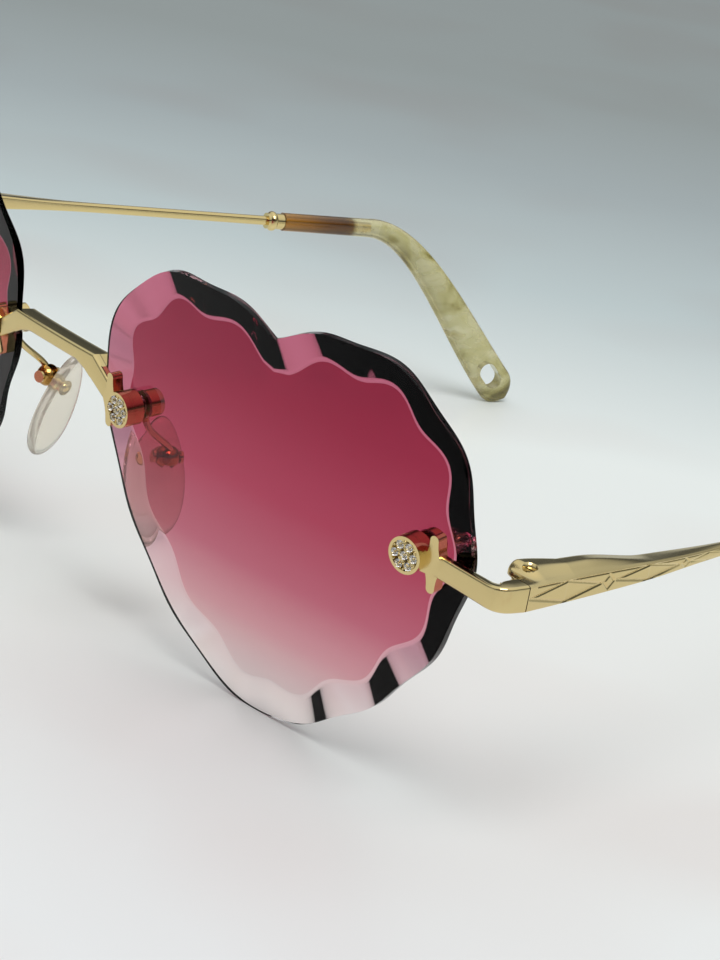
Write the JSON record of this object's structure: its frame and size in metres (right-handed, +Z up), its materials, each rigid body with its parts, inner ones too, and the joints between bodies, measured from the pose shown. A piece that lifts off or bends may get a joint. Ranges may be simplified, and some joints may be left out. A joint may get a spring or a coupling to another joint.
{
  "type": "heart shaped sunglasses",
  "caption": "Rimless sunglasses with tinted heart shaped lenses, a star ended metal bridge, rocking nose pads and folding temples with acetate tips.",
  "frame": {"origin": "on the floor plane under the middle of the glasses' bounding box; the two lens tips and the two temple tips touch z = 0", "axes": "+X to the wearer's left, the lenses face -Y and the temples run to +Y, +Z up"},
  "size_m": [0.1512, 0.1262, 0.0484],
  "materials": {
    "lens_tint": "plum tinted polycarbonate, darker at the top, polished",
    "gold": "light gold plate, satin faces and polished edges",
    "gold_polished": "light gold plate, polished",
    "crystal": "cut clear stones",
    "clear_plastic": "clear nylon",
    "pad_silicone": "clear milky silicone",
    "acetate": "mottled green and amber acetate, polished"
  },
  "bodies": {
    "front": {"left_lens": "lens_tint", "right_lens": "lens_tint", "bridge": "gold", "left_end_piece": "gold", "right_end_piece": "gold", "jewelled_screws": "gold_polished", "crystals": "crystal", "lens_sleeves": "clear_plastic", "lens_washers": "clear_plastic", "lens_nuts": "gold_polished", "left_pad_arm": "gold", "right_pad_arm": "gold", "left_pad_box": "gold", "right_pad_box": "gold", "pad_pins": "gold_polished", "hinge_screws": "gold_polished"},
    "left_pad": {"left_pad_lug": "gold", "left_nose_pad": "pad_silicone"},
    "right_pad": {"right_pad_lug": "gold", "right_nose_pad": "pad_silicone"},
    "left_temple": {"left_temple": "gold", "left_collar": "gold_polished", "left_tip": "acetate"},
    "right_temple": {"right_temple": "gold", "right_collar": "gold_polished", "right_tip": "acetate"}
  },
  "joints": [
    {"name": "left_temple_fold", "type": "hinge", "parent": "front", "child": "left_temple", "pos_m": [0.07235, -0.04889, 0.02913], "axis": [0, 0, 1], "range_deg": [0, 80]},
    {"name": "right_temple_fold", "type": "hinge", "parent": "front", "child": "right_temple", "pos_m": [-0.07235, -0.04889, 0.02913], "axis": [0, 0, -1], "range_deg": [0, 75]},
    {"name": "left_pad_rock", "type": "hinge", "parent": "front", "child": "left_pad", "pos_m": [0.0143, -0.05213, 0.0224], "axis": [0.2924, 0.9563, 0], "range_deg": [-12, 12]},
    {"name": "right_pad_rock", "type": "hinge", "parent": "front", "child": "right_pad", "pos_m": [-0.0143, -0.05213, 0.0224], "axis": [-0.2924, 0.9563, 0], "range_deg": [-12, 12]}
  ]
}
